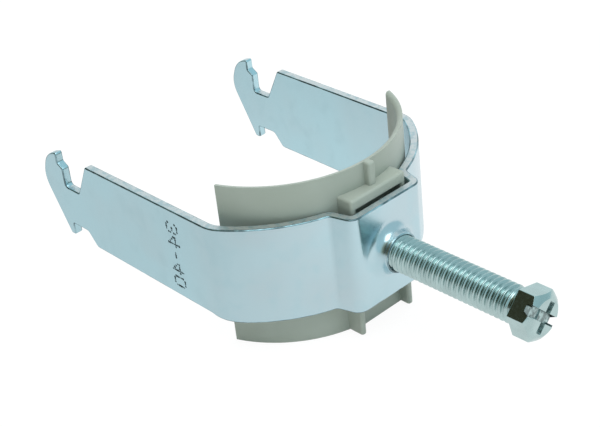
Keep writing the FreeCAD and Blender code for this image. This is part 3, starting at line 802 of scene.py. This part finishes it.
class SADDLECLIP_OT_make_screw(bpy.types.Operator):
    """Makes the threaded clamp screw with its hexagon head, slot and cross recess"""
    bl_idname = "saddle_clip.make_screw"
    bl_label = "Make clamp screw"

    def execute(self, context):
        form = context.scene.clip_screw
        front = screw_low.y
        tip = screw_high.y
        seat = front + form.head_height
        head_sharp_turn = math.radians(24.0)
        thread_sharp_turn = math.radians(50.0)
        material = zinc_screw_material(form)

        head = mesh_object("clamp_screw_head", head_mesh(form, seat, front))
        set_material(head, material)
        tool = mesh_object("screw_recess_tool", recess_mesh(form, front))
        set_material(tool, recess_material(form))
        cut_away(head, "cut_recess", tool)
        round_edges(head, "soft_edges", form.edge_round, head_sharp_turn, miter="MITER_SHARP")
        settle_modifiers(head)
        bpy.data.objects.remove(tool)
        smooth_faces(head)
        even_normals(head)

        shank = mesh_object("clamp_screw_thread", thread_mesh(form, seat, tip))
        set_material(shank, material)
        smooth_faces(shank)
        shank.data.set_sharp_from_angle(angle=thread_sharp_turn)

        for piece in (head, shank):
            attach(piece, "screw")
            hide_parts("clamp_screw")
        return {"FINISHED"}


def studio_world(look):
    """Studio with a white side and an unlit corner, and white where the camera looks past."""
    world = bpy.data.worlds.new("studio")
    bpy.context.scene.world = world
    world.use_nodes = True
    tree = world.node_tree
    tree.nodes.clear()
    place = add_node(tree, "ShaderNodeTexCoord")
    level = look.sky_level
    tint = opaque(look.sky_colour)
    zones = (
        (look.lit_side, look.lit_reach, look.lit_fade, look.lit_level, look.lit_colour),
        (look.dark_side, look.dark_reach, look.dark_fade, look.dark_level, look.dark_colour),
    )
    for side, reach, fade, inside, colour in zones:
        near = along_way(tree, place.outputs["Generated"], Vector(side).normalized())
        share = spread(tree, near, low=math.cos(reach + fade), high=math.cos(reach))
        level = spread(tree, share, low=0.0, high=1.0, to_low=level, to_high=inside)
        tint = mix_colours(tree, share, tint, opaque(colour))
    sky = add_node(tree, "ShaderNodeBackground", {"Color": tint, "Strength": level})
    white = add_node(tree, "ShaderNodeBackground", {"Color": WHITE, "Strength": 1.0})
    path = add_node(tree, "ShaderNodeLightPath").outputs
    seen = reckon(tree, "MAXIMUM", path["Is Camera Ray"], path["Is Transmission Ray"])
    inputs = {0: seen, 1: sky.outputs["Background"], 2: white.outputs["Background"]}
    choose = add_node(tree, "ShaderNodeMixShader", inputs)
    add_node(tree, "ShaderNodeOutputWorld", {"Surface": choose.outputs["Shader"]})


def floor_material(look):
    """Pale floor that shows white to the camera and keeps a faint shadow; to bright metal it shows a painted
    shadow, darker towards the near leg's side.
    """
    material = bpy.data.materials.new("studio_floor")
    material.use_nodes = True
    tree = material.node_tree
    tree.nodes.clear()
    place = own_coordinates(tree)
    path = add_node(tree, "ShaderNodeLightPath").outputs

    lift = 1.02
    cloud = noise(tree, place, scale=3.0, detail=2.0)
    paler = tuple(min(1.0, lift * part) for part in look.floor_colour)
    tint = mix_colours(tree, cloud, opaque(look.floor_colour), opaque(paler))
    plain = add_node(tree, "ShaderNodeBsdfDiffuse", {"Color": tint})

    shadow_tone = (0.08, 0.08, 0.08)
    # Painted shadow: in reflections only, the floor's level drops by up to 0.24 towards the near leg's side,
    # for that leg's shadow on the table.
    painted_shadow_way = (-0.8, 0.6, 0.0)
    drop = spread(tree, along_way(tree, place, painted_shadow_way), low=-40.0 * MM, high=42.0 * MM, to_high=0.24)
    drop = reckon(tree, "MULTIPLY", path["Is Glossy Ray"], drop)
    level = reckon(tree, "SUBTRACT", look.floor_level, drop)
    shadow = add_node(tree, "ShaderNodeBsdfDiffuse", {"Color": opaque(shadow_tone)})
    glow = add_node(tree, "ShaderNodeEmission", {"Color": WHITE, "Strength": level})
    bright = add_node(tree, "ShaderNodeAddShader", {0: shadow.outputs["BSDF"], 1: glow.outputs["Emission"]})

    seen = reckon(tree, "MAXIMUM", path["Is Camera Ray"], path["Is Glossy Ray"])
    seen = reckon(tree, "MAXIMUM", seen, path["Is Transmission Ray"])
    inputs = {0: seen, 1: plain.outputs["BSDF"], 2: bright.outputs["Shader"]}
    choose = add_node(tree, "ShaderNodeMixShader", inputs)
    add_node(tree, "ShaderNodeOutputMaterial", {"Surface": choose.outputs["Shader"]})
    return material


def add_lamp(name, place, aim, size, power):
    """Adds one soft area lamp that looks at a point."""
    data = bpy.data.lights.new(name, "AREA")
    data.shape = "RECTANGLE"
    data.size = size[0]
    data.size_y = size[1]
    data.energy = power
    lamp = bpy.data.objects.new(name, data)
    bpy.context.scene.collection.objects.link(lamp)
    lamp.location = place
    lamp.rotation_euler = (Vector(aim) - Vector(place)).to_track_quat("-Z", "Y").to_euler()
    return lamp


def add_floor(look):
    """Adds the floor, a hair below the part."""
    gap = 0.05 * MM
    reach = 1.5
    fields = 8
    mesh = bmesh.new()
    bmesh.ops.create_grid(mesh, x_segments=fields, y_segments=fields, size=reach)
    floor = mesh_object("studio_floor", mesh)
    floor.location.z = cad_low.z - gap
    set_material(floor, floor_material(look))


def add_camera(look):
    """Adds the camera at the photograph's viewing angle."""
    data = bpy.data.cameras.new("studio_camera")
    data.lens = look.lens
    data.sensor_width = SENSOR_WIDTH
    data.clip_start = 0.01
    data.clip_end = 20.0
    camera = bpy.data.objects.new("studio_camera", data)
    bpy.context.scene.collection.objects.link(camera)
    camera.location = look.camera_place
    camera.rotation_euler = Euler(look.camera_turn, "XYZ")
    bpy.context.scene.camera = camera


class SADDLECLIP_OT_make_stage(bpy.types.Operator):
    """Makes the pale floor, the studio light and the camera"""
    bl_idname = "saddle_clip.make_stage"
    bl_label = "Make studio"

    def execute(self, context):
        look = context.scene.clip_studio
        add_floor(look)
        studio_world(look)
        overhead = add_lamp("lamp_overhead", look.overhead_place, look.lamp_aim, look.overhead_size,
                            look.overhead_power)
        overhead.visible_glossy = False
        add_lamp("lamp_highlights", look.highlight_place, look.lamp_aim, look.highlight_size,
                 look.highlight_power)
        add_camera(look)
        context.scene.view_settings.view_transform = "Standard"
        return {"FINISHED"}


class SADDLECLIP_PT_sidebar(bpy.types.Panel):
    """Lists the pieces of the saddle clip and their sizes and colours"""
    bl_idname = "SADDLECLIP_PT_sidebar"
    bl_label = "Saddle clip"
    bl_space_type = "VIEW_3D"
    bl_region_type = "UI"
    bl_category = "Saddle clip"

    def draw(self, context):
        scene = context.scene
        rows = (
            (scene.clip_strap, SADDLECLIP_OT_dress_strap),
            (scene.clip_saddle, SADDLECLIP_OT_dress_saddle),
            (scene.clip_screw, SADDLECLIP_OT_make_screw),
            (scene.clip_studio, SADDLECLIP_OT_make_stage),
        )
        for group, operator in rows:
            box = self.layout.box()
            box.operator(operator.bl_idname)
            for name in group.__annotations__:
                box.prop(group, name)


CLASSES = (
    StrapFinish,
    SaddleFinish,
    ScrewForm,
    StudioLook,
    SADDLECLIP_OT_dress_strap,
    SADDLECLIP_OT_dress_saddle,
    SADDLECLIP_OT_make_screw,
    SADDLECLIP_OT_make_stage,
    SADDLECLIP_PT_sidebar,
)


def register():
    """Registers the classes and hangs the settings on the scene."""
    for cls in CLASSES:
        bpy.utils.register_class(cls)
    bpy.types.Scene.clip_strap = bpy.props.PointerProperty(type=StrapFinish)
    bpy.types.Scene.clip_saddle = bpy.props.PointerProperty(type=SaddleFinish)
    bpy.types.Scene.clip_screw = bpy.props.PointerProperty(type=ScrewForm)
    bpy.types.Scene.clip_studio = bpy.props.PointerProperty(type=StudioLook)


def unregister():
    """Takes the settings off the scene and the classes out of Blender."""
    del bpy.types.Scene.clip_studio
    del bpy.types.Scene.clip_screw
    del bpy.types.Scene.clip_saddle
    del bpy.types.Scene.clip_strap
    for cls in reversed(CLASSES):
        bpy.utils.unregister_class(cls)


def main():
    """Makes every piece in order."""
    register()
    bpy.ops.saddle_clip.dress_strap()
    bpy.ops.saddle_clip.dress_saddle()
    bpy.ops.saddle_clip.make_screw()
    bpy.ops.saddle_clip.make_stage()


if __name__ == "__main__":
    main()
